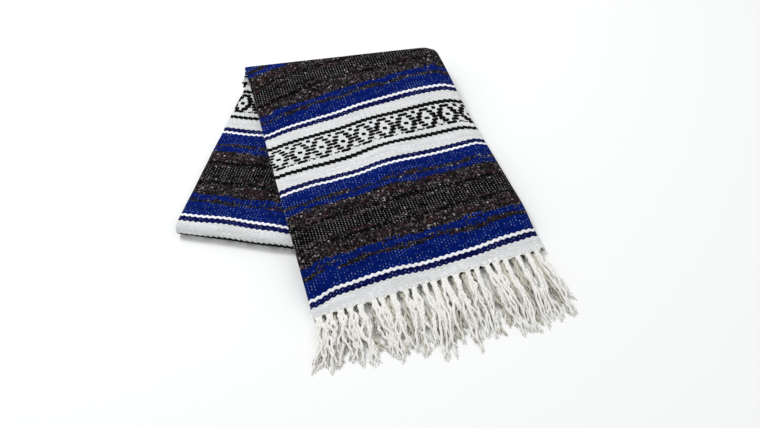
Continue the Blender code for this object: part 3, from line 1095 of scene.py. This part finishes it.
def frayed_end(stations, side, chance):
    """Stations of one of the two curling tails that a yarn's end comes apart into."""
    start = stations[-5]
    ahead = (stations[-1] - stations[-6]).normalized()
    aside = Vector((ahead.y, -ahead.x, 0.0)) * side
    curl = chance.uniform(*FRAY_CURL)
    reach = chance.uniform(*FRAY_REACH)
    tail = []
    for s in spread(0, 1, FRAY_STATIONS):
        point = start + ahead * reach * s + aside * curl * s * (1.6 - s)
        point.z = max(start.z * (1 - s), FRAY_FLOOR)
        tail.append(point)
    return tail


def knot_path(u, depth, chance):
    """Stations of a knot, a yarn wound about twice round the root of its tassel."""
    turns = chance.uniform(*KNOT_TURNS)
    down = chance.uniform(*KNOT_DOWN)
    centre = front_strip(u, hem_run, depth) - down * along_front.to_3d()
    centre.z = max(centre.z - chance.uniform(*KNOT_SINK), KNOT_FLOOR)
    tilt = chance.uniform(-0.6, 0.6)
    knot = []
    for s in spread(0, 1, KNOT_STATIONS):
        angle = tau * turns * s + chance.uniform(-0.06, 0.06)
        out = KNOT_REACH * cos(angle) * across_front.to_3d()
        out.z = KNOT_HEIGHT * sin(angle)
        forward = KNOT_LENGTH * (s - 0.5) + KNOT_TILT * tilt * cos(angle)
        knot.append(centre + out - forward * along_front.to_3d())
    return knot


def loose_thread(lap, depth):
    """Stations of a loose thread that wanders along the hem between the roots."""
    thread = []
    for u in spread(THREAD_INSET, flat_side - THREAD_INSET, THREAD_STATIONS):
        drift = noise.noise(Vector((u * 150, lap * 9.0, 1.0)))
        hop = noise.noise(Vector((u * 210, lap * 9.0, 8.0)))
        point = front_strip(u, hem_run, depth)
        point -= (0.0010 + 0.0030 * drift) * along_front.to_3d()
        point.z += 0.0010 + 0.0022 * hop
        thread.append(point)
    return thread


def fringe_yarn_material(name, high, low):
    """Off-white cotton yarn between two tones, with loose hairs and painted shade in the groove
    between its plies.
    """
    groove_shade_tone = yarn(178, 173, 158)
    hair_tone = yarn(186, 183, 172)
    material, net = empty_material(name)
    place = net.node("UVMap", {"uv_map": "weave"}, {})
    parts = net.node("SeparateXYZ", {}, {0: place})
    around = parts * 2
    along = parts.output("Y") * (2 / UV_SCALE / PLY_PITCH)
    ply = net.maths("COSINE", (around - along) * tau)
    # Painted shade darkens the groove between the two plies.
    groove_shade = ((0.1 - ply) * 0.8).clamped()
    strand = net.node("TexCoord", {}, {}).output("Object")
    cloudy = net.node("TexNoise", {}, {"Vector": strand, "Scale": 55.0, "Detail": 2.0})
    warm = cloudy.blend(high, low)
    groove_shaded = (groove_shade * 0.28).blend(warm, groove_shade_tone)
    hair_spot = net.node("CombineXYZ", {}, {0: around * 5, 1: parts.output("Y") * 0.9, 2: cloudy * 8})
    hair = net.node("TexNoise", {}, {"Vector": hair_spot, "Scale": 1.0, "Detail": 2.0})
    haired = (((hair - 0.52) * 5).clamped() * 0.4).blend(groove_shaded, hair_tone)
    fibre = net.node("TexNoise", {}, {"Vector": strand, "Scale": 1400.0, "Detail": 2.0})
    height = ply * 0.4 + fibre * 0.5
    raised = net.node("Bump", {}, {"Strength": 0.6, "Distance": 0.0006, "Height": height})
    shader = net.node(
        "BsdfPrincipled",
        {},
        {
            "Base Color": haired,
            "Normal": raised,
            "Roughness": 0.95,
            "Specular IOR Level": 0.1,
            "Sheen Weight": 0.1,
            "Sheen Roughness": 0.5,
        },
    )
    net.node("OutputMaterial", {}, {"Surface": shader})
    return material


# The off-white yarn of the top row, and a darker copy of it for the rows under it, which is painted
# shade.
top_row_yarn = fringe_yarn_material("top_row_yarn", yarn(252, 251, 249), yarn(240, 239, 234))
painted_shade_yarn = fringe_yarn_material("painted_shade_yarn", yarn(219, 216, 206), yarn(192, 188, 175))
fray_radii = [FRAY_RADIUS * (1 - 0.45 * s**2) for s in spread(0, 1, FRAY_STATIONS)]
for row_name, row in FRINGE_ROWS.items():
    depth, yarns, radius, share, count, seed = row
    chance = Random(seed)
    mesh = new_weave_mesh()
    for tassel in range(TASSELS):
        u = TASSEL_PITCH * (tassel + 0.5) + chance.uniform(-TASSEL_STRAY, TASSEL_STRAY)
        part = u / STRIP_WIDTH
        full = FRINGE_LENGTH + FRINGE_GROWTH * ease(1.5 * part)
        full -= FRINGE_SHORT_END * ease((part - 0.85) / 0.15)
        full *= chance.uniform(*TASSEL_LENGTHS)
        lean = chance.uniform(-TASSEL_LEAN, TASSEL_LEAN)
        likely = KNOT_CHANCE + KNOT_CHANCE_RISE * part
        knotted = row_name != "bottom" and chance.random() < likely
        if row_name == "middle":
            u += chance.uniform(-MIDDLE_STRAY, MIDDLE_STRAY)
        for k in range(yarns):
            length = full * share * chance.uniform(*YARN_LENGTHS)
            offset = (k - (yarns - 1) / 2) / yarns
            root = offset * (KNOTTED_ROOT if knotted else LOOSE_ROOT)
            aim = lean + offset * YARN_SPREAD + chance.gauss(0.0, YARN_STRAY)
            if chance.random() < WILD_CHANCE:
                aim += chance.choice((-WILD_STRAY, WILD_STRAY))
            lift = chance.uniform(0.0, YARN_LIFT)
            size = chance.uniform(*SLOW_WAVE) * (1.5 - 0.6 * part)
            slow = (size, chance.uniform(*SLOW_RATE), chance.uniform(0, tau), 0.3)
            size = chance.uniform(*QUICK_WAVE)
            quick = (size, chance.uniform(*QUICK_RATE), chance.uniform(0, tau), 0.15)
            stations = fringe_path(u, root, aim, lift, (slow, quick), length, row)
            yarn_tube(mesh, stations, yarn_radii(radius, part, slow[2], count), 8, YARN_TWIST)
            if row_name == "bottom":
                continue
            for _ in range(HAIRS):
                hair = loose_hair(stations, chance)
                yarn_tube(mesh, hair, [HAIR_RADIUS] * len(hair), 3, 0.0)
            for side in (-1, 1):
                yarn_tube(mesh, frayed_end(stations, side, chance), fray_radii, 6, THIN_TWIST)
        if knotted:
            knot = knot_path(u, depth, chance)
            yarn_tube(mesh, knot, [KNOT_RADIUS] * KNOT_STATIONS, 8, YARN_TWIST)
    if row_name == "top":
        for lap in range(THREADS):
            thread = loose_thread(lap, depth)
            yarn_tube(mesh, thread, [THREAD_RADIUS] * THREAD_STATIONS, 6, THIN_TWIST)
    # The rows under the top one take the darker copy: painted shade under the top row.
    tone = top_row_yarn if row_name == "top" else painted_shade_yarn
    piece = put_in_scene("fringe_" + row_name + "_yarns", mesh, tone)
    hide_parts("fringe_" + row_name)
bpy.data.meshes.remove(spool)
